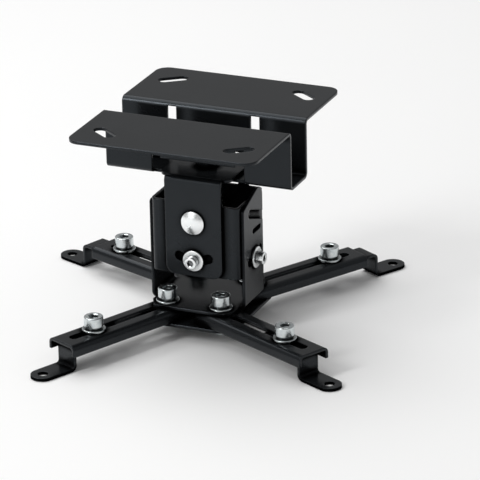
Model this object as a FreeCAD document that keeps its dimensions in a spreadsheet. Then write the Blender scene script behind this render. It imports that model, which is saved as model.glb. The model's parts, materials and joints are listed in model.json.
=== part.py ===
import FreeCAD, Part
import Sketcher
import math
import os

# Projector ceiling mount: folded ceiling channel, swivel bracket, roll box, tilt base, four arms, four feet.
# Lengths are millimetres, angles are degrees. Z points up from the floor under the feet.

doc = FreeCAD.newDocument("projector_mount")
V = FreeCAD.Vector
AXIS_X = V(1, 0, 0)
AXIS_Z = V(0, 0, 1)

# Driving sizes
SIZES = [
    ("sheet_t", 2.0, "thickness of every folded sheet"),
    ("bend_r", 2.0, "inside radius of every fold"),
    ("gap", 0.3, "clearance between pieces that move on one another"),
    ("middle_x", 10.678, "channel centre, from the middle of the outline"),
    ("middle_y", -4.886, "channel centre, from the middle of the outline"),
    ("top_z", 150.0, "height of the ceiling face"),
    ("channel_l", 134.0, "ceiling channel, length"),
    ("channel_w", 29.4, "ceiling channel, outer width of the trough"),
    ("channel_h", 41.6, "ceiling channel, depth of the trough"),
    ("flange_w", 63.0, "ceiling flange, web to free edge"),
    ("flange_r", 9.0, "ceiling flange, corner radius"),
    ("ceil_x", 48.0, "ceiling slot centre, from the middle along the channel"),
    ("ceil_y", 56.0, "ceiling slot centre, from the middle across the channel"),
    ("ceil_slot_w", 8.5, "ceiling slot, width"),
    ("ceil_slot_l", 12.5, "ceiling slot, distance between end centres"),
    ("ceil_slot_a", 36.0, "ceiling slot, angle to the channel"),
    ("web_slot_x", 30.3, "web slot, centre from the middle"),
    ("web_slot_w", 6.6, "web slot, width"),
    ("web_slot_top", 2.7, "web slot, upper end below the ceiling face"),
    ("window_h", 11.9, "web window, height above the trough bottom"),
    ("plate_x", 25.6, "swivel plate, half width"),
    ("plate_y", 20.5, "swivel plate, half depth of the flat"),
    ("plate_r", 5.0, "swivel plate, corner radius"),
    ("tongue_x", 20.4, "tongue, half width"),
    ("tongue_y", 24.5, "tongue, outer face from the middle"),
    ("tongue_low_z", 42.0, "tongue, lower edge"),
    ("tongue_r", 7.0, "tongue, corner radius"),
    ("cut_x", 13.4, "back tongue opening, half width"),
    ("cut_low_z", 91.5, "back tongue opening, lower edge"),
    ("cut_high_z", 106.0, "back tongue opening, upper edge"),
    ("cut_r", 4.0, "back tongue opening, corner radius"),
    ("roll_z", 80.9, "roll pivot height"),
    ("roll_r", 27.1, "roll slot, radius about the roll pivot"),
    ("roll_span", 23.0, "roll slot, half length about the roll pivot"),
    ("box_x", 32.0, "roll box, half width"),
    ("box_y", 22.1, "roll box, half depth"),
    ("box_low_z", 42.2, "roll box, lower edge"),
    ("box_high_z", 93.7, "roll box, upper edge"),
    ("ear_front_y", 18.5, "base ear, front edge from the middle"),
    ("ear_back_y", 14.0, "base ear, back edge from the middle"),
    ("ear_front_z", 91.0, "base ear, upper end of the front edge"),
    ("ear_rise", 19.3, "right base ear, rise of the upper edge towards the back"),
    ("ear_r", 7.0, "base ear, upper back corner radius"),
    ("tilt_y", -7.5, "tilt pin, from the middle"),
    ("tilt_z", 85.3, "tilt pin height"),
    ("tilt_r", 34.3, "tilt slot, radius about the tilt pin"),
    ("tilt_a", 282.6, "tilt screw, direction from the pin"),
    ("tilt_span", 15.0, "tilt slot, half length about the tilt pin"),
    ("hook_fall", 20.0, "hook slot, fall towards the back"),
    ("slit_y", 3.0, "ear slit, centre"),
    ("slit_z", 71.2, "ear slit, height"),
    ("slit_l", 10.5, "ear slit, distance between end centres"),
    ("slit_w", 3.5, "ear slit, width"),
    ("base_z", 20.3, "base plate, underside"),
    ("base_y", 35.0, "base plate, half depth"),
    ("base_x", 26.0, "base plate, half width of the front edge"),
    ("base_side_y", 26.0, "base plate, half depth of the side edge"),
    ("pivot_x", 19.5, "arm screw on the base, across"),
    ("pivot_y", 25.5, "arm screw on the base, along"),
    ("under_x", 33.0, "under plate, half width"),
    ("under_y", 39.5, "under plate, half depth"),
    ("under_r", 12.0, "under plate, corner radius"),
    ("arm_w", 25.5, "arm, width"),
    ("arm_h", 8.0, "arm, height"),
    ("arm_l", 93.0, "arm, pivot to outer end"),
    ("arm_tail", 12.0, "arm, pivot to inner end"),
    ("arm_slot_in", 12.0, "arm slot, inner end centre from the pivot"),
    ("arm_slot_end", 11.0, "arm slot, outer end centre from the arm's end"),
    ("foot_w", 16.5, "foot, width"),
    ("foot_fl", 65.0, "front left foot screw, from the arm pivot"),
    ("foot_fr", 64.5, "front right foot screw, from the arm pivot"),
    ("foot_bl", 73.0, "back left foot screw, from the arm pivot"),
    ("foot_br", 69.0, "back right foot screw, from the arm pivot"),
    ("step_fl", 24.3, "front left foot riser, outer face from its screw"),
    ("step_fr", 23.4, "front right foot riser, outer face from its screw"),
    ("step_bl", 34.0, "back left foot riser, outer face from its screw"),
    ("step_br", 36.3, "back right foot riser, outer face from its screw"),
    ("foot_slot_s", 30.0, "foot slot, middle from the riser's outer face"),
    ("foot_slot_l", 13.5, "foot slot, distance between end centres"),
    ("tab_l", 20.2, "foot tab hole, from the riser's outer face"),
    ("tab_hole_d", 7.0, "foot tab hole, diameter"),
    ("arm_fl", 244.6, "front left arm, direction"),
    ("arm_fr", 333.8, "front right arm, direction"),
    ("arm_bl", 158.5, "back left arm, direction"),
    ("arm_br", 60.0, "back right arm, direction"),
    ("screw_d", 6.0, "screw thread, diameter"),
    ("hole_d", 6.6, "clearance hole, diameter"),
    ("fit_d", 6.1, "running hole, diameter"),
    ("head_d", 13.0, "arm screw head, diameter"),
    ("head_h", 6.8, "arm screw head, height"),
    ("socket_d", 6.4, "arm screw recess, diameter"),
    ("spring_d", 10.5, "spring washer, diameter"),
    ("spring_h", 1.6, "spring washer, height"),
    ("washer_d", 16.0, "arm washer, diameter"),
    ("washer_h", 1.5, "washer, thickness"),
    ("nut_d", 11.0, "nut, across corners"),
    ("nut_h", 5.0, "nut, height"),
    ("lock_head_d", 8.5, "lock screw head, diameter"),
    ("lock_head_h", 5.0, "lock screw head, height"),
    ("lock_socket_d", 4.6, "lock screw recess, diameter"),
    ("lock_washer_d", 14.8, "lock washer, diameter"),
    ("dome_d", 16.4, "roll pivot head, diameter"),
    ("dome_h", 2.8, "roll pivot head, height"),
    ("swivel_d", 8.0, "swivel bolt, diameter"),
    ("swivel_hole_d", 8.15, "swivel hole, diameter"),
    ("swivel_head_d", 15.0, "swivel bolt head, across corners"),
    ("swivel_head_h", 5.3, "swivel bolt head, height"),
]

sheet = doc.addObject("Spreadsheet::Sheet", "sizes")
for row, (alias, number, note) in enumerate(SIZES, start=1):
    sheet.set("A%d" % row, note)
    sheet.set("B%d" % row, str(number))
    sheet.setAlias("B%d" % row, alias)
doc.recompute()


class Size:
    """A number together with the spreadsheet formula it comes from."""

    def __init__(self, value, text):
        self.value = value
        self.text = text

    def __add__(self, other):
        other = size(other)
        return Size(self.value + other.value, "(%s + %s)" % (self.text, other.text))

    def __sub__(self, other):
        other = size(other)
        return Size(self.value - other.value, "(%s - %s)" % (self.text, other.text))

    def __mul__(self, other):
        other = size(other)
        return Size(self.value * other.value, "(%s * %s)" % (self.text, other.text))

    def __truediv__(self, other):
        other = size(other)
        return Size(self.value / other.value, "(%s / %s)" % (self.text, other.text))

    def __neg__(self):
        return Size(-self.value, "(-1 * %s)" % self.text)

    def __radd__(self, other):
        return size(other) + self

    def __rsub__(self, other):
        return size(other) - self

    def __rmul__(self, other):
        return size(other) * self

    def cos(self):
        return Size(math.cos(math.radians(self.value)), "cos(%s)" % self.text)

    def sin(self):
        return Size(math.sin(math.radians(self.value)), "sin(%s)" % self.text)


def size(number):
    """A Size from a Size or a plain number."""
    if isinstance(number, Size):
        return number
    return Size(float(number), repr(float(number)))


d = {alias: Size(number, "sizes.%s" % alias) for alias, number, note in SIZES}


# Building blocks
def bind(thing, prop, amount):
    """Tie one property of an object to its spreadsheet formula."""
    thing.setExpression(prop, size(amount).text)


def place(thing, x=0, y=0, z=0, axis=None, angle=0):
    """Put an object at x, y, z, turned by an angle about an axis."""
    x, y, z, angle = size(x), size(y), size(z), size(angle)
    turned = FreeCAD.Rotation(axis, angle.value) if axis else FreeCAD.Rotation()
    thing.Placement = FreeCAD.Placement(V(x.value, y.value, z.value), turned)
    bind(thing, "Placement.Base.x", x)
    bind(thing, "Placement.Base.y", y)
    bind(thing, "Placement.Base.z", z)
    return thing


def block(x0, x1, y0, y1, z0, z1):
    """A rectangular block between two corners."""
    thing = doc.addObject("Part::Box", "block")
    bind(thing, "Length", size(x1) - x0)
    bind(thing, "Width", size(y1) - y0)
    bind(thing, "Height", size(z1) - z0)
    return place(thing, x0, y0, z0)


def rod(diameter, length, x, y, z, way="z", sweep=360, start=0):
    """A cylinder, or a sector of one, growing from x, y, z along +x, +y or +z."""
    thing = doc.addObject("Part::Cylinder", "rod")
    bind(thing, "Radius", size(diameter) / 2)
    bind(thing, "Height", length)
    if sweep != 360:
        bind(thing, "Angle", sweep)
    place(thing, x, y, z)
    spin = FreeCAD.Rotation(AXIS_Z, size(start).value)
    lean = {
        "z": FreeCAD.Rotation(),
        "x": FreeCAD.Rotation(V(0, 1, 0), V(0, 0, 1), V(1, 0, 0), "ZXY"),
        "y": FreeCAD.Rotation(V(0, 0, 1), V(1, 0, 0), V(0, 1, 0), "ZXY"),
    }[way]
    thing.Placement = FreeCAD.Placement(thing.Placement.Base, lean * spin)
    return thing


def fuse(*things):
    """One solid from several that touch."""
    thing = doc.addObject("Part::MultiFuse", "fuse")
    thing.Shapes = list(things)
    thing.Refine = True
    return thing


def cut(base, *tools):
    """A solid with one or more tools taken away."""
    thing = doc.addObject("Part::Cut", "cut")
    thing.Base = base
    thing.Tool = tools[0] if len(tools) == 1 else fuse(*tools)
    thing.Refine = True
    return thing


def group(*things):
    """Separate solids kept together as one piece."""
    thing = doc.addObject("Part::Compound", "group")
    thing.Links = list(things)
    return thing


def round_edges(base, radius, chosen):
    """Round the straight edges whose middle and direction the test accepts."""
    doc.recompute()
    thing = doc.addObject("Part::Fillet", "round")
    thing.Base = base
    picks = []
    for index, edge in enumerate(base.Shape.Edges, start=1):
        if not isinstance(edge.Curve, Part.Line):
            continue
        middle = edge.CenterOfMass
        way = edge.tangentAt(edge.FirstParameter)
        if chosen(middle, way):
            picks.append((index, radius.value, radius.value))
    if not picks:
        raise ValueError("no edge found to round")
    thing.Edges = picks
    doc.recompute()
    return thing


def near(a, b):
    return abs(a - b) < 0.01


def fold(base, way, first, second, radius):
    """Round one family of fold edges: those along a way, at two given coordinates."""
    names = {"x": ("y", "z"), "y": ("x", "z"), "z": ("x", "y")}[way]

    def chosen(middle, along):
        if abs(getattr(along, way)) < 0.999:
            return False
        one = abs(getattr(middle, names[0]))
        two = getattr(middle, names[1])
        return near(one, first.value) and near(two, second.value)

    return round_edges(base, radius, chosen)


def upright(base, radius, x, y):
    """Round the upright edges at plus and minus x and y."""

    def chosen(middle, along):
        return abs(along.z) > 0.999 and near(abs(middle.x), x.value) and near(abs(middle.y), y.value)

    return round_edges(base, radius, chosen)


def obround(width, reach, x, y, z, depth, angle=0):
    """A slot tool along z: two round ends and the straight part between them."""
    half = size(reach) / 2
    r = size(width) / 2
    body = fuse(
        block(-half, half, -r, r, 0, depth),
        rod(width, depth, half, 0, 0),
        rod(width, depth, -half, 0, 0),
    )
    return place(body, x, y, z, AXIS_Z, angle)


def arc_slot(width, radius, middle, span, way, u, v, start, depth):
    """A slot tool bent round a pivot: a ring sector with a round end at each limit.

    For way "y" the angle runs from +z towards +x; for way "x" it runs from +y towards +z.
    """
    width, radius, middle, span = size(width), size(radius), size(middle), size(span)
    first = middle - span
    at = (u, start, v) if way == "y" else (start, u, v)
    outer = rod(radius * 2 + width, depth, at[0], at[1], at[2], way, span * 2, first)
    inner = rod(radius * 2 - width, depth, at[0], at[1], at[2], way)
    ends = []
    for limit in (first, middle + span):
        if way == "y":
            spot = (u + radius * limit.sin(), start, v + radius * limit.cos())
        else:
            spot = (start, u + radius * limit.cos(), v + radius * limit.sin())
        ends.append(rod(width, depth, spot[0], spot[1], spot[2], way))
    return fuse(cut(outer, inner), *ends)


def polygon(points, z0, z1):
    """A flat plate from a constrained outline of straight sides."""
    sketch = doc.addObject("Sketcher::SketchObject", "outline")
    count = len(points)
    spots = [V(size(x).value, size(y).value, 0) for x, y in points]
    for i in range(count):
        sketch.addGeometry(Part.LineSegment(spots[i], spots[(i + 1) % count]), False)
    for i in range(count):
        sketch.addConstraint(Sketcher.Constraint("Coincident", i, 2, (i + 1) % count, 1))
    for i, (x, y) in enumerate(points):
        for kind, amount in (("DistanceX", x), ("DistanceY", y)):
            index = sketch.addConstraint(Sketcher.Constraint(kind, -1, 1, i, 1, size(amount).value))
            sketch.setExpression("Constraints[%d]" % index, size(amount).text)
    place(sketch, 0, 0, z0)
    thing = doc.addObject("Part::Extrusion", "plate")
    thing.Base = sketch
    thing.DirMode = "Custom"
    thing.Dir = AXIS_Z
    bind(thing, "LengthFwd", size(z1) - z0)
    thing.Solid = True
    return thing


NODES = {}


def node(name, thing, x=0, y=0, angle=0):
    """Keep a finished piece, put where its own upright axis belongs and turned about it."""
    place(thing, d["middle_x"] + x, d["middle_y"] + y, 0, AXIS_Z, angle)
    thing.Label = name
    NODES[name] = thing
    return thing


t = d["sheet_t"]
bend = d["bend_r"]
out = bend + t
gap = d["gap"]
FAR = 200

# Ceiling channel: a trough with a flange folded out along each long side
top = d["top_z"]
half_l = d["channel_l"] / 2
half_w = d["channel_w"] / 2
floor_z = top - d["channel_h"]
edge_y = half_w + d["flange_w"]
trough = cut(
    block(-half_l, half_l, -half_w, half_w, floor_z, top),
    block(-half_l - 1, half_l + 1, -half_w + t, half_w - t, floor_z + t, top + 1),
)
flanges = cut(
    block(-half_l, half_l, -edge_y, edge_y, top - t, top),
    block(-half_l - 1, half_l + 1, -half_w + t, half_w - t, top - t - 1, top + 1),
)
hat = fuse(trough, flanges)
hat = fold(hat, "x", half_w, floor_z, out)
hat = fold(hat, "x", half_w - t, floor_z + t, bend)
hat = fold(hat, "x", half_w - t, top, out)
hat = fold(hat, "x", half_w, top - t, bend)
hat = upright(hat, d["flange_r"], half_l, edge_y)
tools = []
for sx in (-1, 1):
    for sy in (-1, 1):
        lie = d["ceil_slot_a"] * (-1 * sx * sy)
        tools.append(obround(d["ceil_slot_w"], d["ceil_slot_l"], sx * d["ceil_x"], sy * d["ceil_y"],
                             top - t - 1, t + 2, lie))
slot_r = d["web_slot_w"] / 2
slot_end = d["web_slot_x"] + slot_r
for sy in (-1, 1):
    near_y = half_w - out
    far_y = half_w + out
    y0, y1 = (near_y, far_y) if sy > 0 else (-far_y, -near_y)
    tools.append(block(-slot_end, slot_end, y0, y1, floor_z - 1, floor_z + d["window_h"]))
    for sx in (-1, 1):
        mid = sx * d["web_slot_x"]
        tools.append(block(mid - slot_r, mid + slot_r, y0, y1, floor_z - 1, top - d["web_slot_top"]))
tools.append(rod(d["swivel_hole_d"], t * 3, 0, 0, floor_z - t))
node("ceiling_channel", cut(hat, *tools))

# Swivel bracket: a plate lying in the trough with a tongue folded down at the front and back
plate_low = floor_z + t + gap
plate_top = plate_low + t
plate = upright(
    block(-d["plate_x"], d["plate_x"], -d["plate_y"], d["plate_y"], plate_low, plate_top),
    d["plate_r"], d["plate_x"], d["plate_y"],
)
ty = d["tongue_y"]
tx = d["tongue_x"]
tongues = cut(
    block(-tx, tx, -ty, ty, d["tongue_low_z"], plate_top),
    block(-tx - 1, tx + 1, -ty + t, ty - t, d["tongue_low_z"] - 1, plate_low),
)
tongues = fold(tongues, "x", ty, plate_top, out)
tongues = fold(tongues, "x", ty - t, plate_low, bend)


def tongue_corner(middle, along):
    low = d["tongue_low_z"].value
    return abs(along.y) > 0.999 and near(abs(middle.x), tx.value) and near(middle.z, low)


tongues = round_edges(tongues, d["tongue_r"], tongue_corner)
bracket = fuse(plate, tongues)
opening = block(-d["cut_x"], d["cut_x"], ty - t - 1, ty + 1, d["cut_low_z"], d["cut_high_z"])


def opening_corner(middle, along):
    return abs(along.y) > 0.999


opening = round_edges(opening, d["cut_r"], opening_corner)
tools = [opening, rod(d["swivel_hole_d"], t * 3, 0, 0, plate_low - t)]
tools.append(rod(d["fit_d"], FAR, 0, -FAR / 2, d["roll_z"], "y"))
tools.append(arc_slot(d["hole_d"], d["roll_r"], 180, d["roll_span"], "y", 0, d["roll_z"], -FAR / 2, FAR))
node("swivel_bracket", cut(bracket, *tools))

# Swivel bolt: a hexagon head over the plate and a nut under the trough


def hexagon(across, height, x, y, z):
    thing = doc.addObject("Part::Prism", "hexagon")
    thing.Polygon = 6
    bind(thing, "Circumradius", size(across) / 2)
    bind(thing, "Height", height)
    return place(thing, x, y, z)


nut_z = floor_z - gap - d["nut_h"]
shank = rod(d["swivel_d"], plate_top - nut_z + 2, 0, 0, nut_z - 2)
head = hexagon(d["swivel_head_d"], d["swivel_head_h"], 0, 0, plate_top)
node("swivel_bolt", fuse(shank, head))
swivel_nut = cut(
    hexagon(d["swivel_head_d"], d["nut_h"], 0, 0, nut_z),
    rod(d["swivel_d"], d["nut_h"] + 2, 0, 0, nut_z - 1),
)
node("swivel_nut", swivel_nut)

# Roll box: a short rectangular tube between the tongues
bx = d["box_x"]
by = d["box_y"]
low_z = d["box_low_z"]
high_z = d["box_high_z"]
outer = upright(block(-bx, bx, -by, by, low_z, high_z), out, bx, by)
inner = upright(block(-bx + t, bx - t, -by + t, by - t, low_z - 1, high_z + 1), bend, bx - t, by - t)
lock_z = d["roll_z"] - d["roll_r"]
tilt_y = d["tilt_y"]
tilt_z = d["tilt_z"]
screw_y = tilt_y + d["tilt_r"] * d["tilt_a"].cos()
screw_z = tilt_z + d["tilt_r"] * d["tilt_a"].sin()
tools = [
    inner,
    rod(d["screw_d"], FAR, 0, -FAR / 2, d["roll_z"], "y"),
    rod(d["screw_d"], FAR, 0, -FAR / 2, lock_z, "y"),
    rod(d["screw_d"], FAR, -FAR / 2, tilt_y, tilt_z, "x"),
    rod(d["screw_d"], FAR, -FAR / 2, screw_y, screw_z, "x"),
]
node("roll_box", cut(outer, *tools))

# Roll pivots, roll locks, tilt pins and tilt locks


def side_rod(diameter, near_end, far_end, way, side, u, v):
    """A rod along x or y between two distances from the middle, on one side."""
    low = near_end if side > 0 else -size(far_end)
    reach = size(far_end) - near_end
    spot = (low, u, v) if way == "x" else (u, low, v)
    return rod(diameter, reach, spot[0], spot[1], spot[2], way)


def dome(side):
    """A low round head: a disc with its outer rim well rounded."""
    seat = ty + gap
    disc = side_rod(d["dome_d"], seat, seat + d["dome_h"], "y", side, 0, d["roll_z"])
    doc.recompute()
    thing = doc.addObject("Part::Fillet", "dome")
    thing.Base = disc
    limit = side * (seat + d["dome_h"]).value
    picks = []
    for index, edge in enumerate(disc.Shape.Edges, start=1):
        flat = abs(edge.BoundBox.YMax - edge.BoundBox.YMin) < 0.01
        if flat and near(edge.CenterOfMass.y, limit):
            picks.append((index, d["dome_h"].value * 0.8, d["dome_h"].value * 0.8))
    thing.Edges = picks
    return thing


inside_y = by - t
inside_x = bx - t
pivots = []
locks = []
washers = []
nuts = []
for side in (-1, 1):
    stem = side_rod(d["screw_d"], inside_y - d["nut_h"] - 1, ty + 1, "y", side, 0, d["roll_z"])
    pivots.append(fuse(stem, dome(side)))
    face = ty + gap
    seat = face + d["washer_h"]
    washer = side_rod(d["lock_washer_d"], face, seat, "y", side, 0, lock_z)
    washers.append(cut(washer, side_rod(d["screw_d"], face - 1, seat + 1, "y", side, 0, lock_z)))
    tip = seat + d["lock_head_h"]
    shaft = side_rod(d["screw_d"], inside_y - d["nut_h"] - 1, seat + 1, "y", side, 0, lock_z)
    cap = side_rod(d["lock_head_d"], seat, tip, "y", side, 0, lock_z)
    recess = side_rod(d["lock_socket_d"], tip - 3, tip + 1, "y", side, 0, lock_z)
    locks.append(cut(fuse(shaft, cap), recess))
    for z in (d["roll_z"], lock_z):
        ring = side_rod(d["nut_d"], inside_y - d["nut_h"], inside_y, "y", side, 0, z)
        bore = side_rod(d["screw_d"], inside_y - d["nut_h"] - 2, inside_y + 1, "y", side, 0, z)
        nuts.append(cut(ring, bore))
node("roll_pivot_bolts", group(*pivots))
node("roll_lock_screws", group(*locks))
node("roll_lock_washers", group(*washers))
node("roll_nuts", group(*nuts))

ear_in = bx + gap
ear_out = ear_in + t
pins = []
locks = []
washers = []
nuts = []
for side in (-1, 1):
    pins.append(side_rod(d["screw_d"], inside_x - 3, ear_out, "x", side, tilt_y, tilt_z))
    face = ear_out + gap
    seat = face + d["washer_h"]
    tip = seat + d["lock_head_h"]
    washer = side_rod(d["lock_washer_d"], face, seat, "x", side, screw_y, screw_z)
    washers.append(cut(washer, side_rod(d["screw_d"], face - 1, seat + 1, "x", side, screw_y, screw_z)))
    shaft = side_rod(d["screw_d"], inside_x - d["nut_h"] - 1, seat + 1, "x", side, screw_y, screw_z)
    cap = side_rod(d["lock_head_d"], seat, tip, "x", side, screw_y, screw_z)
    recess = side_rod(d["lock_socket_d"], tip - 3, tip + 1, "x", side, screw_y, screw_z)
    locks.append(cut(fuse(shaft, cap), recess))
    ring = side_rod(d["nut_d"], inside_x - d["nut_h"], inside_x, "x", side, screw_y, screw_z)
    bore = side_rod(d["screw_d"], inside_x - d["nut_h"] - 2, inside_x + 1, "x", side, screw_y, screw_z)
    nuts.append(cut(ring, bore))
node("tilt_pins", group(*pins))
node("tilt_lock_screws", group(*locks))
node("tilt_lock_washers", group(*washers))
node("tilt_nuts", group(*nuts))

# Base: a plate with an ear folded up on each side; the right one's upper edge rises towards the back
base_low = d["base_z"]
base_top = base_low + t
ear_f = d["ear_front_y"]
ear_b = d["ear_back_y"]
ear_z = d["ear_front_z"]
ear_top = ear_z + ear_f + ear_b
side_y = d["base_side_y"]
ears = cut(
    block(-ear_out, ear_out, -ear_f, ear_b, base_low, ear_top),
    block(-ear_in, ear_in, -ear_f - 1, ear_b + 1, base_top, ear_top + 1),
)
ears = fold(ears, "y", ear_out, base_low, out)
ears = fold(ears, "y", ear_in, base_top, bend)
above_right = place(block(0, ear_out + 1, 0, FAR, 0, FAR), 0, -ear_f, ear_z, AXIS_X, d["ear_rise"])
above_left = block(-ear_out - 1, 0, -ear_f - 1, ear_b + 1, ear_z, ear_top + 1)
ears = cut(ears, above_right, above_left)


def ear_back_corner(middle, along):
    return abs(along.x) > 0.999 and near(middle.y, ear_b.value) and middle.z > ear_z.value - 1


def ear_front_corner(middle, along):
    return abs(along.x) > 0.999 and near(middle.y, -ear_f.value) and near(middle.z, ear_z.value)


ears = round_edges(ears, d["ear_r"], ear_back_corner)
ears = round_edges(ears, bend, ear_front_corner)
flat_x = ear_out - out
wide = [
    (d["base_x"], -d["base_y"]), (flat_x, -side_y), (flat_x, side_y), (d["base_x"], d["base_y"]),
    (-d["base_x"], d["base_y"]), (-flat_x, side_y), (-flat_x, -side_y), (-d["base_x"], -d["base_y"]),
]
base = fuse(ears, polygon(wide, base_low, base_top))
tools = []
for sx in (-1, 1):
    for sy in (-1, 1):
        tools.append(rod(d["screw_d"], t * 3, sx * d["pivot_x"], sy * d["pivot_y"], base_low - t))
    x0 = ear_in - 1 if sx > 0 else -ear_out - 1
    hook = fuse(
        rod(d["fit_d"], t + 2, x0, 0, 0, "x"),
        block(x0, x0 + t + 2, 0, FAR / 2, -d["fit_d"] / 2, d["fit_d"] / 2),
    )
    tools.append(place(hook, 0, tilt_y, tilt_z, AXIS_X, -d["hook_fall"]))
    tools.append(arc_slot(d["hole_d"], d["tilt_r"], d["tilt_a"], d["tilt_span"], "x", tilt_y, tilt_z,
                          x0, t + 2))
    slit_r = d["slit_w"] / 2
    half = d["slit_l"] / 2
    tools.append(fuse(
        block(x0, x0 + t + 2, d["slit_y"] - half, d["slit_y"] + half, d["slit_z"] - slit_r, d["slit_z"] + slit_r),
        rod(d["slit_w"], t + 2, x0, d["slit_y"] - half, d["slit_z"], "x"),
        rod(d["slit_w"], t + 2, x0, d["slit_y"] + half, d["slit_z"], "x"),
    ))
node("base_bracket", cut(base, *tools))

# Under plate: clamps the arms against the base from below
arm_top = base_low - gap
arm_low = arm_top - d["arm_h"]
under_top = arm_low - gap
under_low = under_top - t
ux = d["under_x"]
uy = d["under_y"]
under = upright(block(-ux, ux, -uy, uy, under_low, under_top), d["under_r"], ux, uy)
tools = []
for sx in (-1, 1):
    for sy in (-1, 1):
        tools.append(rod(d["screw_d"], t * 3, sx * d["pivot_x"], sy * d["pivot_y"], under_low - t))
node("under_plate", cut(under, *tools))

# Screws, washers and nuts standing upright


def upright_screw(seat, low, x, y):
    """A round head with a recess on a long shank."""
    shaft = rod(d["screw_d"], seat + 1 - low, x, y, low)
    cap = rod(d["head_d"], d["head_h"], x, y, seat)
    recess = rod(d["socket_d"], 3, x, y, seat + d["head_h"] - 2.5)
    return cut(fuse(shaft, cap), recess)


def ring(diameter, height, x, y, z):
    return cut(rod(diameter, height, x, y, z), rod(d["screw_d"], height + 2, x, y, z - 1))


def washer_pair(z, x, y):
    """A flat washer with a spring washer on it, as one solid."""
    flat = ring(d["washer_d"], d["washer_h"], x, y, z)
    spring = ring(d["spring_d"], d["spring_h"], x, y, z + d["washer_h"])
    return fuse(flat, spring)


def round_nut(x, y, z):
    return cut(hexagon(d["nut_d"], d["nut_h"], x, y, z), rod(d["screw_d"], d["nut_h"] + 2, x, y, z - 1))


stack = d["washer_h"] + d["spring_h"]
corners = [(sx * d["pivot_x"], sy * d["pivot_y"]) for sx in (-1, 1) for sy in (-1, 1)]
base_nut_z = under_low - d["nut_h"]
node("base_screws", group(*[upright_screw(base_top + stack, base_nut_z - 1, x, y) for x, y in corners]))
node("base_washers", group(*[washer_pair(base_top, x, y) for x, y in corners]))
node("base_nuts", group(*[round_nut(x, y, base_nut_z) for x, y in corners]))

# Arms: a channel open below, with a pivot hole and a long slot
aw = d["arm_w"] / 2
strip_top = arm_top - t - gap
strip_low = strip_top - t
foot_w = d["foot_w"] / 2


def make_arm():
    shell = fold(block(-d["arm_tail"], d["arm_l"], -aw, aw, arm_low, arm_top), "x", aw, arm_top, out)
    hollow = block(-d["arm_tail"] - 1, d["arm_l"] + 1, -aw + t, aw - t, arm_low - 1, arm_top - t)
    hollow = fold(hollow, "x", aw - t, arm_top - t, bend)
    slot_out = d["arm_l"] - d["arm_slot_end"]
    reach = slot_out - d["arm_slot_in"]
    middle = (slot_out + d["arm_slot_in"]) / 2
    slot = obround(d["hole_d"], reach, middle, 0, arm_top - t - 1, t + 2)
    return cut(shell, hollow, slot, rod(d["fit_d"], t + 2, 0, 0, arm_top - t - 1))


# Feet: a slotted strip under the arm, a riser and a tab with a hole; all four are the same piece
def make_foot(screw_s, step):
    riser_out = screw_s + step
    slot_s = riser_out - d["foot_slot_s"]
    inner_s = slot_s - d["foot_slot_l"] / 2 - foot_w
    tab_s = riser_out + d["tab_l"]
    strip = block(inner_s, riser_out, -foot_w, foot_w, strip_low, strip_top)
    riser = block(riser_out - t, riser_out, -foot_w, foot_w, 0, strip_top)
    tab = block(riser_out - t, tab_s, -foot_w, foot_w, 0, t)
    foot = fuse(strip, riser, tab)

    def at(s, z):
        def chosen(middle, along):
            return abs(along.y) > 0.999 and near(middle.x, s.value) and near(middle.z, size(z).value)
        return chosen

    foot = round_edges(foot, out, at(riser_out, strip_top))
    foot = round_edges(foot, bend, at(riser_out - t, strip_low))
    foot = round_edges(foot, out, at(riser_out - t, 0))
    foot = round_edges(foot, bend, at(riser_out, t))
    foot = fuse(foot, rod(d["foot_w"], t, tab_s, 0, 0))
    holes = [rod(d["tab_hole_d"], t + 2, tab_s, 0, -1),
             obround(d["hole_d"], d["foot_slot_l"], slot_s, 0, strip_low - 1, t + 2)]
    return cut(foot, *holes)


for corner, sx, sy in (("fl", -1, -1), ("fr", 1, -1), ("bl", -1, 1), ("br", 1, 1)):
    x = sx * d["pivot_x"]
    y = sy * d["pivot_y"]
    angle = d["arm_" + corner]
    foot_s = d["foot_" + corner]
    seat = arm_top + gap
    nut_low = strip_low - d["nut_h"]
    node("arm_" + corner, make_arm(), x, y, angle)
    node("foot_" + corner, make_foot(foot_s, d["step_" + corner]), x, y, angle)
    node("foot_screw_" + corner, upright_screw(seat + stack, nut_low - 1, foot_s, 0), x, y, angle)
    node("foot_washer_" + corner, washer_pair(seat, foot_s, 0), x, y, angle)
    node("foot_nut_" + corner, round_nut(foot_s, 0, nut_low), x, y, angle)

# Check and write
doc.recompute()
for thing in doc.Objects:
    if "Invalid" in thing.State or "Error" in thing.State:
        raise ValueError("broken object " + thing.Label)
os.makedirs("parts", exist_ok=True)
for name, thing in NODES.items():
    shape = thing.Shape
    if shape.isNull() or not shape.isValid() or not shape.Solids:
        raise ValueError("bad shape " + name)
    shape.exportStep("parts/%s.step" % name)
print("parts written:", len(NODES))
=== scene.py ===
# %% [markdown]
# A short ceiling mount for a projector: folded black sheet steel, clamped with zinc plated screws. The
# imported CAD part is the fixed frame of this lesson. Every sheet piece already has its true shape there,
# so the sheets stay and only get a better finish. The screws, washers, nuts and pins are plain there,
# with no threads and no chamfers, so each of them is made again here, with thread, key hole, chamfers and
# rounded rims.

# %% Load the frame
import json
import math

import bmesh
import bpy
import numpy as np
from mathutils import Matrix, Vector


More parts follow.
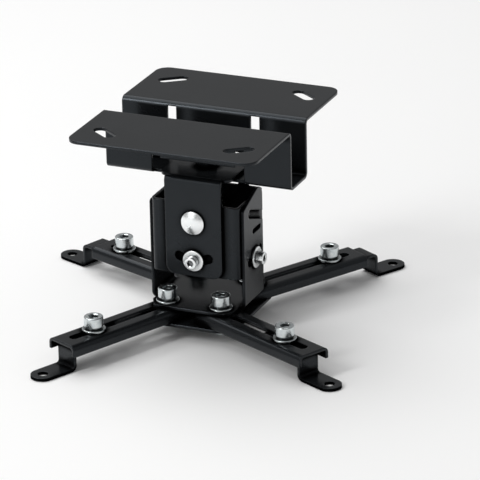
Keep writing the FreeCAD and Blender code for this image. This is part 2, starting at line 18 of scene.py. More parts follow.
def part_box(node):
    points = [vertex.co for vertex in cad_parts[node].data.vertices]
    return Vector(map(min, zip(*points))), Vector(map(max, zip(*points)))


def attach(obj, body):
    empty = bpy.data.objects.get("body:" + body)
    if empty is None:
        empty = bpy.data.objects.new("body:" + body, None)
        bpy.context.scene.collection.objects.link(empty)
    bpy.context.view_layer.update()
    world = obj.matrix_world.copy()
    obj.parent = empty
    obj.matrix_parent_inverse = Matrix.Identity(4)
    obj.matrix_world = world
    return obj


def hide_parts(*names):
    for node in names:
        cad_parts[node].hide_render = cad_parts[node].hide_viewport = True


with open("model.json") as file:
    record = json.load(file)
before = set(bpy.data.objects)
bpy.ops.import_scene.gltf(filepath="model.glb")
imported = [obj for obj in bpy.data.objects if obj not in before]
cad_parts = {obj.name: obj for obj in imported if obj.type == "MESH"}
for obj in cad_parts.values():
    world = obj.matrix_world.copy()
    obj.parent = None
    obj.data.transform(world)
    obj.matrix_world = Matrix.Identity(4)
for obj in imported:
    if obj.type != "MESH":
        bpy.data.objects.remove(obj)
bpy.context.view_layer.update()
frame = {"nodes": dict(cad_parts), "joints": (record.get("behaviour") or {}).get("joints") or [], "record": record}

MM = 0.001
joints = {joint["name"]: joint for joint in frame["joints"]}
bodies = frame["record"]["behaviour"]["bodies"]
body_of_node = {node: body for body, nodes in bodies.items() for node in nodes}
slot_of_node = {part["node"]: part["material_slot"] for part in frame["record"]["subparts"]}
print("CAD nodes:", len(frame["nodes"]), "joints:", len(joints))

# %% [markdown]
# A finish changes from point to point, and Blender does such sums with Math nodes. They could be placed
# one by one, but that hides the formula. Here a wire stands for one output socket of a material's nodes,
# and adding, subtracting or multiplying wires adds the Math nodes, so the finishes further down read as
# arithmetic.


# %% Wires
class Wire:
    """An output socket; arithmetic on it adds Math nodes to its finish."""

    def __init__(self, finish, socket):
        self.finish = finish
        self.socket = socket

    def maths(self, operation, first, second):
        return self.finish.node("ShaderNodeMath", {"operation": operation}, {0: first, 1: second})

    def __add__(self, other):
        return self.maths("ADD", self, other)

    def __sub__(self, other):
        return self.maths("SUBTRACT", self, other)

    def __rsub__(self, other):
        return self.maths("SUBTRACT", other, self)

    def __mul__(self, other):
        return self.maths("MULTIPLY", self, other)

    __radd__ = __add__
    __rmul__ = __mul__


print("wires add, subtract and multiply")

# %% [markdown]
# A finish is a material with one method that adds any node. Its other methods give random cloudiness, edges that
# are never quite sharp, and painted shade that keeps gaps darker than open faces.
# Edges and gaps could be painted by hand on a map, but the Bevel and Ambient Occlusion nodes find them
# from the shape itself.


# %% Finishes
class Finish:
    """A material and its node tree."""

    def __init__(self, name):
        self.material = bpy.data.materials.new(name)
        self.material.use_nodes = True
        self.tree = self.material.node_tree
        self.shader = self.tree.nodes["Principled BSDF"]

    def put(self, socket, value):
        """Link a wire to a socket, or set the socket's own value."""
        if isinstance(value, Wire):
            self.tree.links.new(value.socket, socket)
        else:
            socket.default_value = value

    def node(self, kind, settings=None, inputs=None, output=0):
        """Add a node: its settings first, then a value or a wire for each of its sockets."""
        made = self.tree.nodes.new(kind)
        for name, value in (settings or {}).items():
            setattr(made, name, value)
        for key, value in (inputs or {}).items():
            self.put(made.inputs[key], value)
        return Wire(self, made.outputs[output])

    def surface(self, **inputs):
        """Set the shader's sockets, named with underscores."""
        for name, value in inputs.items():
            self.put(self.shader.inputs[name.replace("_", " ")], value)
        return self.material

    def noise(self, scale, detail=2.0, roughness=0.5):
        """Soft random values about one half, with features of about one over the scale in metres."""
        place = self.node("ShaderNodeTexCoord", output="Object")
        return self.node("ShaderNodeTexNoise", {}, {
            "Vector": place, "Scale": scale, "Detail": detail, "Roughness": roughness})

    def band(self, value, low, high):
        """Stretch the values between low and high over zero to one, and hold the rest."""
        return self.node("ShaderNodeMapRange", {"clamp": True}, {0: value, 1: low, 2: high})

    def blend(self, amount, first, second):
        """Mix two colours; the Mix node keeps its colour sockets at 6 and 7 and their result at 2."""
        return self.node("ShaderNodeMix", {"data_type": "RGBA"}, {0: amount, 6: first, 7: second}, 2)

    def soft_edge(self, radius):
        """The surface's normal with every edge rounded off, and how far it turned there."""
        rounded = self.node("ShaderNodeBevel", {"samples": 6}, {"Radius": radius})
        plain = self.node("ShaderNodeNewGeometry", output="Normal")
        along = self.node(
            "ShaderNodeVectorMath", {"operation": "DOT_PRODUCT"}, {0: rounded, 1: plain}, "Value")
        return rounded, self.band(1 - along, 0.01, 0.25)

    def openness(self, reach):
        """One on open faces, less where other faces stand nearer than the reach."""
        return self.node("ShaderNodeAmbientOcclusion", {"samples": 8}, {"Distance": reach}, "AO")

    def fade_into_painted_shade(self, reach, colour, closed=0.80, clear=0.985):
        """Paint shade into gaps and slots: the finish goes over to a dark matt colour between two degrees of
        openness.
        """
        # painted shade: a dark matt shader takes over where other faces stand close
        matt = self.node("ShaderNodeBsdfDiffuse", {}, {"Color": colour})
        shiny = Wire(self, self.shader.outputs[0])
        share = self.band(self.openness(reach), closed, clear)
        both = self.node("ShaderNodeMixShader", {}, {0: share, 1: matt, 2: shiny})
        self.put(self.tree.nodes["Material Output"].inputs["Surface"], both)
        return self.material


print("a finish has noise, bands, blends, soft edges and dull gaps")

# %% [markdown]
# The sheets are powder coated: a thick satin black skin with a fine orange peel, a faint cloudiness where the
# powder lay thicker, and edges where it runs thin, so they look a little smoother and greyer; part of that grey is
# a painted highlight. In narrow gaps the coat goes over to a darker matt black, which is painted shade. The orange
# peel is about a millimetre wide and a hundredth of a millimetre high, so it is bump and not geometry. The Bevel
# node rounds each cut edge of the sheet in the shading, which gives the thin bright line that such edges have.


# %% Powder coat
def powder_coat():
    """Satin black with a faint blue shine."""
    deep_black, pale_black = (0.0062, 0.0070, 0.0078, 1), (0.0092, 0.0100, 0.0110, 1)
    # the edge grey is partly thin coat and partly a painted highlight; the gap black is painted shade
    thin_coat_and_highlight_grey, painted_gap_shade = (0.036, 0.038, 0.040, 1), (0.0016, 0.0016, 0.0017, 1)
    coat = Finish("satin_black_powder_coat")
    cloud = coat.band(coat.noise(scale=38, detail=3), 0.3, 0.7)
    peel = coat.noise(scale=820, roughness=0.45)
    grain = coat.noise(scale=3600, detail=1)
    rubbed = coat.band(coat.noise(scale=130, detail=4, roughness=0.6), 0.35, 0.75)
    rounded, edge = coat.soft_edge(1.4 * MM)
    # edge wear mixed with a painted edge highlight
    wear_and_edge_sheen = edge * (0.35 + 0.65 * rubbed)
    colour = coat.blend(wear_and_edge_sheen * 0.35, coat.blend(cloud, deep_black, pale_black), thin_coat_and_highlight_grey)
    bumpy = coat.node("ShaderNodeBump", {}, {
        "Strength": 0.30, "Distance": 0.08 * MM, "Height": peel + 0.3 * grain, "Normal": rounded})
    coat.surface(
        Base_Color=colour, Roughness=0.18 + 0.05 * cloud + 0.03 * grain - 0.02 * wear_and_edge_sheen,
        Normal=bumpy, Specular_IOR_Level=0.29, Specular_Tint=(0.82, 0.91, 1.0, 1))
    # painted shade in gaps and slots
    return coat.fade_into_painted_shade(6 * MM, painted_gap_shade)


coat = powder_coat()
coated = [name for name, slot in slot_of_node.items() if slot == "black_steel"]
for name in coated:
    for slot in frame["nodes"][name].material_slots:
        slot.material = coat
print("powder coated nodes:", len(coated))

# %% [markdown]
# The fasteners are zinc plated: bright, a little blue, with small cloudy patches from the bath and fine marks that
# run round the piece from turning. The marks could follow the room's axes, but then they would cross a tilted
# piece, so each turned piece below carries a UV map whose v is the distance along its profile in millimetres. One
# function makes two copies of the same zinc: a lighter one, almost white, as a painted highlight on the pivots and
# lock screws, and a greyer one, as painted shade, on the upright screws. In recesses both go over to a dark grey,
# which is painted shade.


# %% Zinc plate
def zinc_plate(name, cloudy, clear):
    """A plated finish between two greys: the cloudy patches and the clear ones."""
    # the recess grey is painted shade
    spot_grey, painted_recess_shade = (0.40, 0.42, 0.43, 1), (0.045, 0.048, 0.05, 1)
    radians_per_mm = 41.0
    zinc = Finish(name)
    profile = zinc.node("ShaderNodeUVMap", {"uv_map": "profile"})
    along = zinc.node("ShaderNodeSeparateXYZ", {}, {0: profile}, "Y")
    cloud = zinc.band(zinc.noise(scale=420, detail=3, roughness=0.55), 0.3, 0.7)
    spots = zinc.band(zinc.noise(scale=2600), 0.55, 0.8)
    wander = 3.0 * zinc.noise(scale=900)
    marks = zinc.node("ShaderNodeMath", {"operation": "SINE"}, {0: along * radians_per_mm + wander})
    rounded, edge = zinc.soft_edge(0.22 * MM)
    spotted = zinc.blend(spots * 0.25, zinc.blend(cloud, cloudy, clear), spot_grey)
    # painted shade: key holes and the gaps under heads go over to a dark grey
    colour = zinc.blend(zinc.band(zinc.openness(5 * MM), 0.30, 0.97), painted_recess_shade, spotted)
    bumpy = zinc.node("ShaderNodeBump", {}, {
        "Strength": 0.15, "Distance": 0.02 * MM, "Height": 0.5 * marks + spots, "Normal": rounded})
    return zinc.surface(
        Base_Color=colour, Metallic=1.0, Normal=bumpy,
        Roughness=0.17 + 0.10 * cloud + 0.06 * spots - 0.04 * edge)


# two copies of one zinc: the greyer one is painted shade, the lighter one a painted highlight
zinc = zinc_plate("shaded_copy_zinc_plate", (0.54, 0.59, 0.61, 1), (0.74, 0.77, 0.77, 1))
lit_copy_zinc = zinc_plate("lit_copy_zinc_plate", (0.86, 0.89, 0.90, 1), (0.95, 0.96, 0.96, 1))
print("zinc finishes:", zinc.name, lit_copy_zinc.name)

# %% [markdown]
# A screw, a nut or a washer is a turned part: a profile carried round an axis. It could be put together
# from cylinders and modifiers, but one formula for all of them keeps the pieces alike and closed. The
# profile is a table with one row for each ring of points: its round radius, the radius of the flats if it
# is cut to a hexagon, its height, and how much of the thread it carries. The smaller of the two radii
# wins at every angle, which is exactly how a chamfer meets the flats of a real nut.

# %% Turned surfaces
NO_LIMIT = 1e3
COLUMNS = 48
PITCH = 1.0
THREAD_DEPTH = 0.55


def lathe(rows):
    """Points of a turned surface, in millimetres, as an array of rings.

    At angle t and a row's height h the radius is the smaller of the row's round radius and its flats' radius
    divided by the cosine of the angle to the nearest flat's middle; where the row carries thread, a triangle
    wave of h / pitch - t / turn, times the thread's depth, is taken off.
    """
    limit, flats, height, thread = np.asarray(rows, float).T[:, :, None]
    angle = np.linspace(0, 2 * np.pi, COLUMNS, endpoint=False)[None, :]
    off_flat = angle % (np.pi / 3) - np.pi / 6
    wave = np.abs(2 * ((height / PITCH - angle / (2 * np.pi)) % 1) - 1)
    radius = np.minimum(limit, flats / np.cos(off_flat)) - thread * THREAD_DEPTH * wave
    return np.stack([radius * np.cos(angle), radius * np.sin(angle), height + 0 * angle], axis=-1)


def skin(points, ring):
    """Vertices, faces and UVs of a grid that closes round its columns, and over its rows if it is a ring."""
    rows, columns = points.shape[:2]
    spans = rows if ring else rows - 1
    i, j = np.meshgrid(np.arange(spans), np.arange(columns), indexing="ij")
    below, above, right = i * columns, (i + 1) % rows * columns, (j + 1) % columns
    faces = np.stack([below + j, below + right, above + right, above + j], axis=-1).reshape(-1, 4)
    steps = np.linalg.norm(np.diff(points[:, 0], axis=0, append=points[:1, 0]), axis=-1)
    reach = np.concatenate([[0], np.cumsum(steps)])
    u0, u1 = j / columns, (j + 1) / columns
    corners = [(u0, reach[i]), (u1, reach[i]), (u1, reach[i + 1]), (u0, reach[i + 1])]
    uvs = np.stack([np.stack(corner, axis=-1) for corner in corners], axis=2).reshape(-1, 2)
    return points.reshape(-1, 3), faces, uvs


print("one lathe for every fastener, with", COLUMNS, "points round each ring")

# %% [markdown]
# Each surface is made upright at the origin and then moved to its seat. A seat is a point and an axis,
# and it could be fitted by eye, but here it is taken from the CAD node's own box and from the joints, so
# it is right from the start. All pieces of one CAD node become one mesh that replaces it and rides on the
# same body.

# %% From surface to piece
SAME_PLACE = 1e-7
SHARP_FROM = math.radians(32)
made = []


def turn_to(axis):
    """A rotation that carries the upright axis onto the given one."""
    return np.array(Vector((0, 0, 1)).rotation_difference(Vector(axis)).to_matrix())


def close_poles(mesh):
    """Merge the points that share a place, so that every pole is one vertex."""
    work = bmesh.new()
    work.from_mesh(mesh)
    bmesh.ops.remove_doubles(work, verts=work.verts, dist=SAME_PLACE)
    work.to_mesh(mesh)
    work.free()


def piece(name, parts, node, finish=zinc):
    """One mesh object from (vertices, faces, uvs, seat, axis) parts, standing for a CAD node."""
    verts, faces, uvs, count = [], [], [], 0
    for points, quads, marks, seat, axis in parts:
        verts.append(points * MM @ turn_to(axis).T + np.asarray(seat))
        faces.append(quads + count)
        uvs.append(marks)
        count += len(points)
    mesh = bpy.data.meshes.new(name)
    mesh.from_pydata(np.concatenate(verts).tolist(), [], np.concatenate(faces).tolist())
    profile = mesh.uv_layers.new(name="profile")
    profile.data.foreach_set("uv", np.concatenate(uvs).astype(np.float32).ravel())
    obj = bpy.data.objects.new(name, mesh)
    bpy.context.scene.collection.objects.link(obj)
    close_poles(mesh)
    mesh.materials.append(finish)
    mesh.shade_smooth()
    mesh.set_sharp_from_angle(angle=SHARP_FROM)
    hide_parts(node)
    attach(obj, body_of_node[node])
    made.append(obj)


def middle(node):
    """Centre, lowest and highest corner of a CAD node."""
    low, high = map(np.array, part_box(node))
    return (low + high) / 2, low, high


print("pieces replace CAD nodes one for one")

# %% [markdown]
# The arm and foot screws are socket screws with a low round head. The profile runs from the tip up the
# thread, out under the head, up its side, over a rounded rim and down into the hexagonal key hole. The
# thread could be a bump, but it is real geometry here, because it shows under the nuts when the mount is
# seen from below.

# %% Rows of a screw's profile
TIP = 0.8
RUN_IN = 0.1
RIM_STEPS = 6
ROWS_PER_TURN = 8


def round_rows(*places):
    """Rows with no flats and no thread, from pairs of a radius and a height."""
    return [[radius, NO_LIMIT, height, 0] for radius, height in places]


def rounded_rim(radius, top, rim):
    """Rows of a quarter round under a top edge: its centre plus the rim times cosine and sine."""
    angle = np.radians(np.linspace(0, 90, RIM_STEPS))
    return round_rows(*zip(radius - rim + rim * np.cos(angle), top - rim + rim * np.sin(angle)))


def shank(radius, end, tip=TIP):
    """Rows of a chamfered tip and of a thread that fades in over its first turn and out over its last."""
    start = tip + RUN_IN
    height = np.arange(start, end, PITCH / ROWS_PER_TURN)
    fade = np.clip(np.minimum(height - start, end - height) / PITCH, 0, 1)
    thread = [[radius, NO_LIMIT, h, share] for h, share in zip(height, fade)]
    return round_rows((0, 0), (radius - tip, 0), (radius, tip)) + thread


def key_hole(flats, top, depth):
    """Rows of a hexagonal key hole: a round lead in, straight flats and a drilled point."""
    lead_in, lead_depth = 0.62 * flats, 0.35
    drill, point = 0.44 * flats, 0.25 * flats
    sides = [[NO_LIMIT, flats / 2, height, 0] for height in (top - lead_depth, top - depth)]
    return round_rows((lead_in, top)) + sides + round_rows((drill, top - depth), (0, top - depth - point))


print("rows for tips, threads, rims and key holes")

# %% [markdown]
# With these rows a screw is a short sum: shank, underside of the head, rim and key hole. The four foot
# screws stand where the CAD has them, and the four base screws stand on the axes that the arms swing
# about.

# %% Socket screws
THREAD_D, HEAD_D, HEAD_H, KEY, KEY_DEPTH = 6.0, 13.0, 6.8, 6.0, 2.2
UP = (0, 0, 1)
CORNERS = ("fl", "fr", "bl", "br")
pivots = {corner: joints["arm_%s_swing" % corner]["pos_m"] for corner in CORNERS}


def socket_screw(length, head_d, head_h, flats, key_depth, rim=0.7, under=0.25, run_out=0.3):
    """A socket screw standing on its tip."""
    r, head, seat = THREAD_D / 2, head_d / 2, length - head_h
    rows = shank(r, seat - run_out)
    rows += round_rows((r, seat), (head - under, seat), (head, seat + under))
    rows += rounded_rim(head, length, rim)
    rows += key_hole(flats, length, key_depth)
    return skin(lathe(rows), False)


def upright_screw(low, high, x, y):
    """A screw between two heights, with its seat and axis."""
    screw = socket_screw((high[2] - low[2]) / MM, HEAD_D, HEAD_H, KEY, KEY_DEPTH)
    return *screw, (x, y, low[2]), UP


for corner in CORNERS:
    centre, low, high = middle("foot_screw_" + corner)
    piece("socket_screw_" + corner, [upright_screw(low, high, *centre[:2])], "foot_screw_" + corner)
_, low, high = middle("base_screws")
screws = [upright_screw(low, high, *pivots[corner][:2]) for corner in CORNERS]
piece("socket_screws_base", screws, "base_screws")
print("socket screws:", [obj.name for obj in made], "points in one:", len(made[0].data.vertices))

# %% [markdown]
# Under each head lie a flat washer and a spring washer. The flat washer is punched, so its upper rim is
# rounded and its lower one sharp. The spring washer is one turn of a flat-sided wire whose ends stand a
# little apart: a section carried along a helix, which is why it isn't made on the lathe.

# %% Washers
WASHER_D, WASHER_H, SPRING_D, BORE_D = 16.0, 1.5, 10.5, 6.2
SPRING_RISE = 0.35
SPRING_STEPS = 72


def flat_washer(outer_d, rim=0.45, blunt=0.08, lead=0.15):
    """A ring: up the outside, over the rounded rim, in over the top, down the bore and out below."""
    out, bore = outer_d / 2, BORE_D / 2
    rows = round_rows((out - blunt, 0), (out, blunt))
    rows += rounded_rim(out, WASHER_H, rim)
    rows += round_rows((bore + lead, WASHER_H), (bore, WASHER_H - lead), (bore, 0))
    return skin(lathe(rows), True)


def spring_washer(tall, slit=0.16, soft=0.12):
    """A flat-sided section carried round a helix, from one side of the slit to the other, ends closed.

    At angle t the section is lifted by the rise times the share of the turn that t has gone.
    """
    turns = np.linspace(slit / 2, 2 * np.pi - slit / 2, SPRING_STEPS)
    out, bore, thick = SPRING_D / 2, BORE_D / 2, tall - SPRING_RISE
    radius = np.array([out - soft, out, out, out - soft, bore + soft, bore, bore, bore + soft])
    height = np.array([0, soft, thick - soft, thick, thick, thick - soft, soft, 0])
    climb = (SPRING_RISE * (turns - turns[0]) / (turns[-1] - turns[0]))[:, None]
    across, away = radius * np.cos(turns)[:, None], radius * np.sin(turns)[:, None]
    points = np.stack([across, away, height + climb], axis=-1)
    ends = [np.repeat(points[k].mean(axis=0)[None], len(radius), axis=0)[None] for k in (0, -1)]
    places, faces, uvs = skin(np.concatenate([ends[0], points, ends[1]]), False)
    return places, faces[:, ::-1], uvs.reshape(-1, 4, 2)[:, ::-1].reshape(-1, 2)


def washer_stack(low, high, x, y):
    """A flat washer with a spring washer on it, with their seats and axes."""
    flat = *flat_washer(WASHER_D), (x, y, low[2]), UP
    tall = (high[2] - low[2]) / MM - WASHER_H
    spring = *spring_washer(tall), (x, y, low[2] + WASHER_H * MM), UP
    return [flat, spring]


for corner in CORNERS:
    centre, low, high = middle("foot_washer_" + corner)
    piece("washers_" + corner, washer_stack(low, high, *centre[:2]), "foot_washer_" + corner)
_, low, high = middle("base_washers")
stacks = [part for corner in CORNERS for part in washer_stack(low, high, *pivots[corner][:2])]
piece("washers_base", stacks, "base_washers")
print("washer stacks:", len(CORNERS) + len(stacks) // 2)

# %% [markdown]
# Nuts sit under the feet's strips, under the lower plate and inside the box. A nut is a hexagon with both
# faces chamfered, so its flats end in shallow curves. They could be cut with a Boolean modifier, but the
# lathe gives them by itself: near a face the round limit of the chamfer's cone is the smaller radius at
# the corners only.

# %% Nuts
NUT_D, NUT_H, NUT_BORE = 11.0, 5.0, 6.05
CHAMFER_STEPS = 7
CHAMFER_SLOPE = math.sqrt(3)


def half_flats(corners_d):
    """Half the width across the flats of a hexagon, from its width across corners."""
    return corners_d / 2 * math.cos(math.pi / 6)


def hex_nut(corners_d, bore_d, chamfer=0.9, face=0.97, lead=0.4):
    """A ring: up the six sides between two chamfer cones, in over the top, down the bore."""
    flats, bore = half_flats(corners_d), bore_d / 2
    lift = np.linspace(0, chamfer, CHAMFER_STEPS)
    cone = flats * face + lift * CHAMFER_SLOPE
    rows = [[limit, flats, h, 0] for limit, h in zip(cone, lift)]
    rows += [[limit, flats, NUT_H - h, 0] for limit, h in zip(cone[::-1], lift[::-1])]
    rows += round_rows((bore + lead, NUT_H), (bore, NUT_H - lead), (bore, lead), (bore + lead, 0))
    return skin(lathe(rows), True)


def small_nut(seat, axis=UP):
    """A nut for the screws' thread, with its seat and axis."""
    return *hex_nut(NUT_D, NUT_BORE), seat, axis


for corner in CORNERS:
    centre, low, _ = middle("foot_nut_" + corner)
    piece("nut_" + corner, [small_nut((*centre[:2], low[2]))], "foot_nut_" + corner)
_, low, _ = middle("base_nuts")
piece("nuts_base", [small_nut((*pivots[corner][:2], low[2])) for corner in CORNERS], "base_nuts")

roll_x, _, roll_z = joints["roll"]["pos_m"]
lock_middle, _, _ = middle("roll_lock_screws")
tilt_middle, _, _ = middle("tilt_lock_screws")
_, low, high = middle("roll_nuts")
roll_nuts = []
for z in (roll_z, lock_middle[2]):
    roll_nuts.append(small_nut((roll_x, low[1], z), (0, 1, 0)))
    roll_nuts.append(small_nut((roll_x, high[1], z), (0, -1, 0)))
piece("nuts_roll", roll_nuts, "roll_nuts")
_, low, high = middle("tilt_nuts")
tilt_nuts = [small_nut((low[0], *tilt_middle[1:]), (1, 0, 0)),
             small_nut((high[0], *tilt_middle[1:]), (-1, 0, 0))]
piece("nuts_tilt", tilt_nuts, "tilt_nuts")
print("nuts in place:", 2 * len(CORNERS) + len(roll_nuts) + len(tilt_nuts))

# %% [markdown]
# On the tongues and on the ears sit smaller socket screws with one broad washer, which lock the roll and
# the tilt. Each pair faces outwards from the box, one screw on either side, so it could be mirrored;
# seating each screw on its own nut keeps both right even if the two sides were to differ.

# %% Lock screws
LOCK_HEAD_D, LOCK_HEAD_H, LOCK_KEY, LOCK_KEY_DEPTH, LOCK_RIM = 8.5, 5.0, 4.0, 2.4, 0.5
LOCK_WASHER_D = 14.8
TIP_PROUD = 1.0


def seated(surface, centre, across, side, place):
    """A surface with its seat, at a place on one row axis beside the centre, and its axis to one side."""
    seat, axis = centre.copy(), np.zeros(3)
    seat[across], axis[across] = place, side
    return *surface, seat, axis


def lock_pair(node, across):
    """Both lock screws of a node, standing out along one row axis, tips inwards."""
    centre, low, high = middle(node)
    _, nut_low, nut_high = middle(node.replace("lock_screws", "nuts"))
    parts = []
    for side, edge, nut in ((-1, low, nut_low), (1, high, nut_high)):
        inner = nut[across] - side * (NUT_H + TIP_PROUD) * MM
        tall = abs(edge[across] - inner) / MM
        screw = socket_screw(tall, LOCK_HEAD_D, LOCK_HEAD_H, LOCK_KEY, LOCK_KEY_DEPTH, LOCK_RIM)
        parts.append(seated(screw, centre, across, side, inner))
    return parts


def washer_twins(node, across):
    """Both lock washers of a node, rounded rims outwards."""
    centre, low, high = middle(node)
    return [seated(flat_washer(LOCK_WASHER_D), centre, across, side, edge[across] - side * WASHER_H * MM)
            for side, edge in ((-1, low), (1, high))]


for motion, across in (("roll", 1), ("tilt", 0)):
    node = motion + "_lock_screws"
    piece("lock_screws_" + motion, lock_pair(node, across), node, lit_copy_zinc)
for motion, across in (("roll", 1), ("tilt", 0)):
    node = motion + "_lock_washers"
    piece("lock_washers_" + motion, washer_twins(node, across), node, lit_copy_zinc)
print("locks:", [obj.name for obj in made[-4:]])

# %% [markdown]
# The roll pivots above the lock screws have a broad low head: a shallow dome on a short straight rim. The dome
# could be a squashed sphere, but a slice of a large sphere has the even curve of a pressed head. The tilt pins end
# inside the ears' hook slots, and they get the black coat as painted shade, because nothing bright is seen there.

# %% Pivots and pins
DOME_D, DOME_H, DOME_RIM = 16.4, 2.8, 0.9
DOME_STEPS = 14
PIN_SUNK, PIN_INSIDE = 1.5, 5.0


def dome_bolt(tall, under=0.2):
    """A pivot standing on its tip: a shank, a short rim and a head that is a slice of a sphere.

    A sphere's slice of radius a and rise h has the sphere's radius (a ** 2 + h ** 2) / (2 * h).
    """
    r, head, seat = THREAD_D / 2, DOME_D / 2, tall - DOME_H
    rise = DOME_H - DOME_RIM
    ball = (head ** 2 + rise ** 2) / (2 * rise)
    lean = np.linspace(math.asin(head / ball), 0, DOME_STEPS)
    rows = shank(r, NUT_H + TIP_PROUD)
    rows += round_rows((r, seat), (head - under, seat), (head, seat + under))
    rows += round_rows(*((ball * math.sin(a), tall - ball * (1 - math.cos(a))) for a in lean))
    return skin(lathe(rows), False)


def plain_pin(tall, chamfer=0.5):
    """A pin standing on its inner end, both ends chamfered."""
    r = THREAD_D / 2
    rows = round_rows((0, 0), (r - chamfer, 0), (r, chamfer))
    rows += round_rows((r, tall - chamfer), (r - chamfer, tall), (0, tall))
    return skin(lathe(rows), False)


_, low, high = middle("roll_pivot_bolts")
_, nut_low, nut_high = middle("roll_nuts")
heads = []
for side, edge, nut in ((-1, low, nut_low), (1, high, nut_high)):
    inner = nut[1] - side * (NUT_H + TIP_PROUD) * MM
    heads.append((*dome_bolt(abs(edge[1] - inner) / MM), (roll_x, inner, roll_z), (0, side, 0)))
piece("dome_pivots", heads, "roll_pivot_bolts", lit_copy_zinc)

centre, low, high = middle("tilt_pins")
_, box_low, box_high = middle("roll_box")
pins = []
for side, edge, wall in ((-1, low, box_low), (1, high, box_high)):
    inner = wall[0] - side * PIN_INSIDE * MM
    pins.append((*plain_pin(abs(edge[0] - inner) / MM - PIN_SUNK), (inner, *centre[1:]), (side, 0, 0)))
# the pins' black coat is painted shade
piece("tilt_pin_pair", pins, "tilt_pins", coat)
print("pivots and pins:", [obj.name for obj in made[-2:]])

# %% [markdown]
# The swivel bolt stands in the trough with its hexagon head up, and its nut hangs below. From above the head is in
# plain sight, so it gets the chamfer and the washer face that a pressed head has. Both get the black coat instead
# of zinc, as painted shade, because the window in front of them looks dark.

# %% Swivel bolt
SWIVEL_D, SWIVEL_HEAD_D, SWIVEL_HEAD_H = 8.0, 15.0, 5.3
SWIVEL_TIP, SWIVEL_RUN_OUT, SWIVEL_CHAMFER, SWIVEL_PLAY = 0.9, 0.5, 1.1, 0.05


def hex_bolt(tall, face=0.95, washer_face=0.3, dish=0.25):
    """A hexagon bolt standing on its tip, with a washer face under the head and a chamfer and dish on top."""
    r, flats, seat = SWIVEL_D / 2, half_flats(SWIVEL_HEAD_D), tall - SWIVEL_HEAD_H
    dish_top, dish_floor = 0.70 * flats, 0.66 * flats
    lift = np.linspace(0, SWIVEL_CHAMFER, CHAMFER_STEPS)[::-1]
    rows = shank(r, seat - SWIVEL_RUN_OUT, SWIVEL_TIP)
    rows += round_rows((r, seat), (flats * face, seat), (flats * face, seat + washer_face))
    rows += [[NO_LIMIT, flats, seat + washer_face, 0]]
    rows += [[flats * face + h * CHAMFER_SLOPE, flats, tall - h, 0] for h in lift]
    rows += round_rows((dish_top, tall), (dish_floor, tall - dish), (0, tall - dish))
    return skin(lathe(rows), False)


centre, low, high = middle("swivel_bolt")
bolt = hex_bolt((high[2] - low[2]) / MM)
# black coat instead of zinc: painted shade
piece("swivel_hex_bolt", [(*bolt, (*centre[:2], low[2]), UP)], "swivel_bolt", coat)
centre, low, _ = middle("swivel_nut")
nut = hex_nut(SWIVEL_HEAD_D, SWIVEL_D + SWIVEL_PLAY, SWIVEL_CHAMFER)
piece("swivel_hex_nut", [(*nut, (*centre[:2], low[2]), UP)], "swivel_nut", coat)
triangles = sum(len(face.vertices) - 2 for obj in made for face in obj.data.polygons)
print("new pieces:", len(made), "triangles:", triangles)

# %% [markdown]
# The studio is plain. A white floor that reaches past the view is all that the camera sees behind the
# mount. A bright world could give the white too, but a floor also keeps the mount's shadow.


# %% Floor
def pale_floor():
    """White with a hardly visible unevenness."""
    floor = Finish("pale_studio_floor")
    tone = floor.band(floor.noise(scale=2.2), 0.3, 0.7)
    return floor.surface(
        Base_Color=floor.blend(tone, (0.97, 0.97, 0.97, 1), (0.985, 0.985, 0.98, 1)),
        Roughness=0.75, Specular_IOR_Level=0.2)


FLOOR_REACH = 12.0
FLOOR_DROP = 0.4 * MM
outline = [(x * FLOOR_REACH, y * FLOOR_REACH, 0) for x, y in ((-1, -1), (1, -1), (1, 1), (-1, 1))]
ground = bpy.data.meshes.new("studio_floor")
ground.from_pydata(outline, [], [(0, 1, 2, 3)])
ground.materials.append(pale_floor())
studio = bpy.data.objects.new("studio_floor", ground)
bpy.context.scene.collection.objects.link(studio)
studio.location.z = -FLOOR_DROP
print("floor:", 2 * FLOOR_REACH, "m wide")

# %% [markdown]
# The light is soft: a pale surround, which gives about a third of it, and three lamps. The big one hangs
# high on the left, a little behind the mount, so the shadows fall to the right and to the front. The
# broad one stands low in front and shows in the bright heads. The long one stands higher in front and
# shows as a thin line along the folds of the sheets. Fewer lamps would do for the floor, but black sheet
# is seen by what it mirrors. All together they light the floor so that a colour renders about as it is
# written.

# %% Surround and lamps
SURROUND = 0.35
LAMP_AIM = Vector((0, 0, 0.06))

world = bpy.data.worlds.new("pale_surround")
bpy.context.scene.world = world
world.use_nodes = True
sky = world.node_tree.nodes["Background"]
sky.inputs["Color"].default_value = (1.0, 1.0, 1.0, 1)
sky.inputs["Strength"].default_value = SURROUND


def lamp(name, toward, distance, size, power):
    """A soft lamp of a given width and height, in a given direction from the mount and turned to face it."""
    data = bpy.data.lights.new(name, "AREA")
    data.shape = "RECTANGLE"
    data.size, data.size_y = size
    data.energy = power
    obj = bpy.data.objects.new(name, data)
    bpy.context.scene.collection.objects.link(obj)
    way = Vector(toward).normalized()
    obj.location = LAMP_AIM + way * distance
    obj.rotation_mode = "QUATERNION"
    obj.rotation_quaternion = way.to_track_quat("Z", "Y")


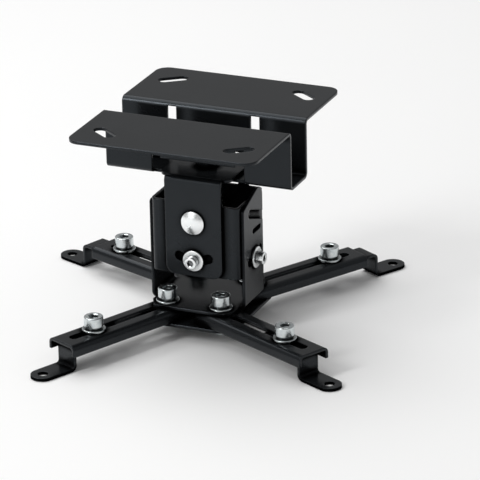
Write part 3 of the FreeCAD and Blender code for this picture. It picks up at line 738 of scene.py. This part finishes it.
lamp("big_soft_lamp", toward=(-0.38, 0.16, 0.91), distance=2.2, size=(2.2, 2.2), power=34)
lamp("broad_front_lamp", toward=(-0.40, -0.88, 0.27), distance=2.4, size=(1.25, 1.25), power=4.5)
lamp("long_front_lamp", toward=(-0.42, -0.66, 0.62), distance=2.4, size=(0.28, 0.90), power=15)
bpy.context.scene.view_settings.view_transform = "Standard"
print("lamps:", [light.name for light in bpy.data.lights])

# %% [markdown]
# The camera stands about where the photograph was taken from: 2.5 m away with a long lens, about 24
# degrees to the right of the channel's front and 22 degrees above. It could be set by eye, but its angles
# and lens were fitted to the mount's corners in the photograph, and a point on the swivel's axis stands
# at its pixel of the picture. The camera's own axis passes through the picture's middle, so no lens shift
# is needed, and the small roll is part of its orientation.

# %% Camera
AZIMUTH, ELEVATION, ROLL = math.radians(23.88), math.radians(21.65), -0.0240
DISTANCE, FOCAL_PX, FRAME_PX = 2.5, 3708.6, 480
AIM_HEIGHT = 0.075
AIM = Vector((*joints["swivel"]["pos_m"][:2], AIM_HEIGHT))
AIM_PX = (207.7, 218.3)
SENSOR_WIDTH = 36.0

back = Vector((
    math.sin(AZIMUTH) * math.cos(ELEVATION), -math.cos(AZIMUTH) * math.cos(ELEVATION), math.sin(ELEVATION)))
level_right = Vector((math.cos(AZIMUTH), math.sin(AZIMUTH), 0))
level_up = back.cross(level_right)
right = math.cos(ROLL) * level_right + math.sin(ROLL) * level_up
up = -math.sin(ROLL) * level_right + math.cos(ROLL) * level_up
off_x, off_y = ((FRAME_PX / 2 - pixel) / FOCAL_PX for pixel in AIM_PX)
axis = (back - off_x * right + off_y * up).normalized()
side = up.cross(axis).normalized()
turned = Matrix((side, axis.cross(side), axis)).transposed()

lens = bpy.data.cameras.new("camera")
lens.sensor_width = SENSOR_WIDTH
lens.lens = FOCAL_PX / FRAME_PX * SENSOR_WIDTH
camera = bpy.data.objects.new("camera", lens)
bpy.context.scene.collection.objects.link(camera)
camera.matrix_world = Matrix.Translation(AIM + DISTANCE * back) @ turned.to_4x4()
bpy.context.scene.camera = camera
print("lens %.1f mm, camera at" % lens.lens, [round(v, 3) for v in camera.location])
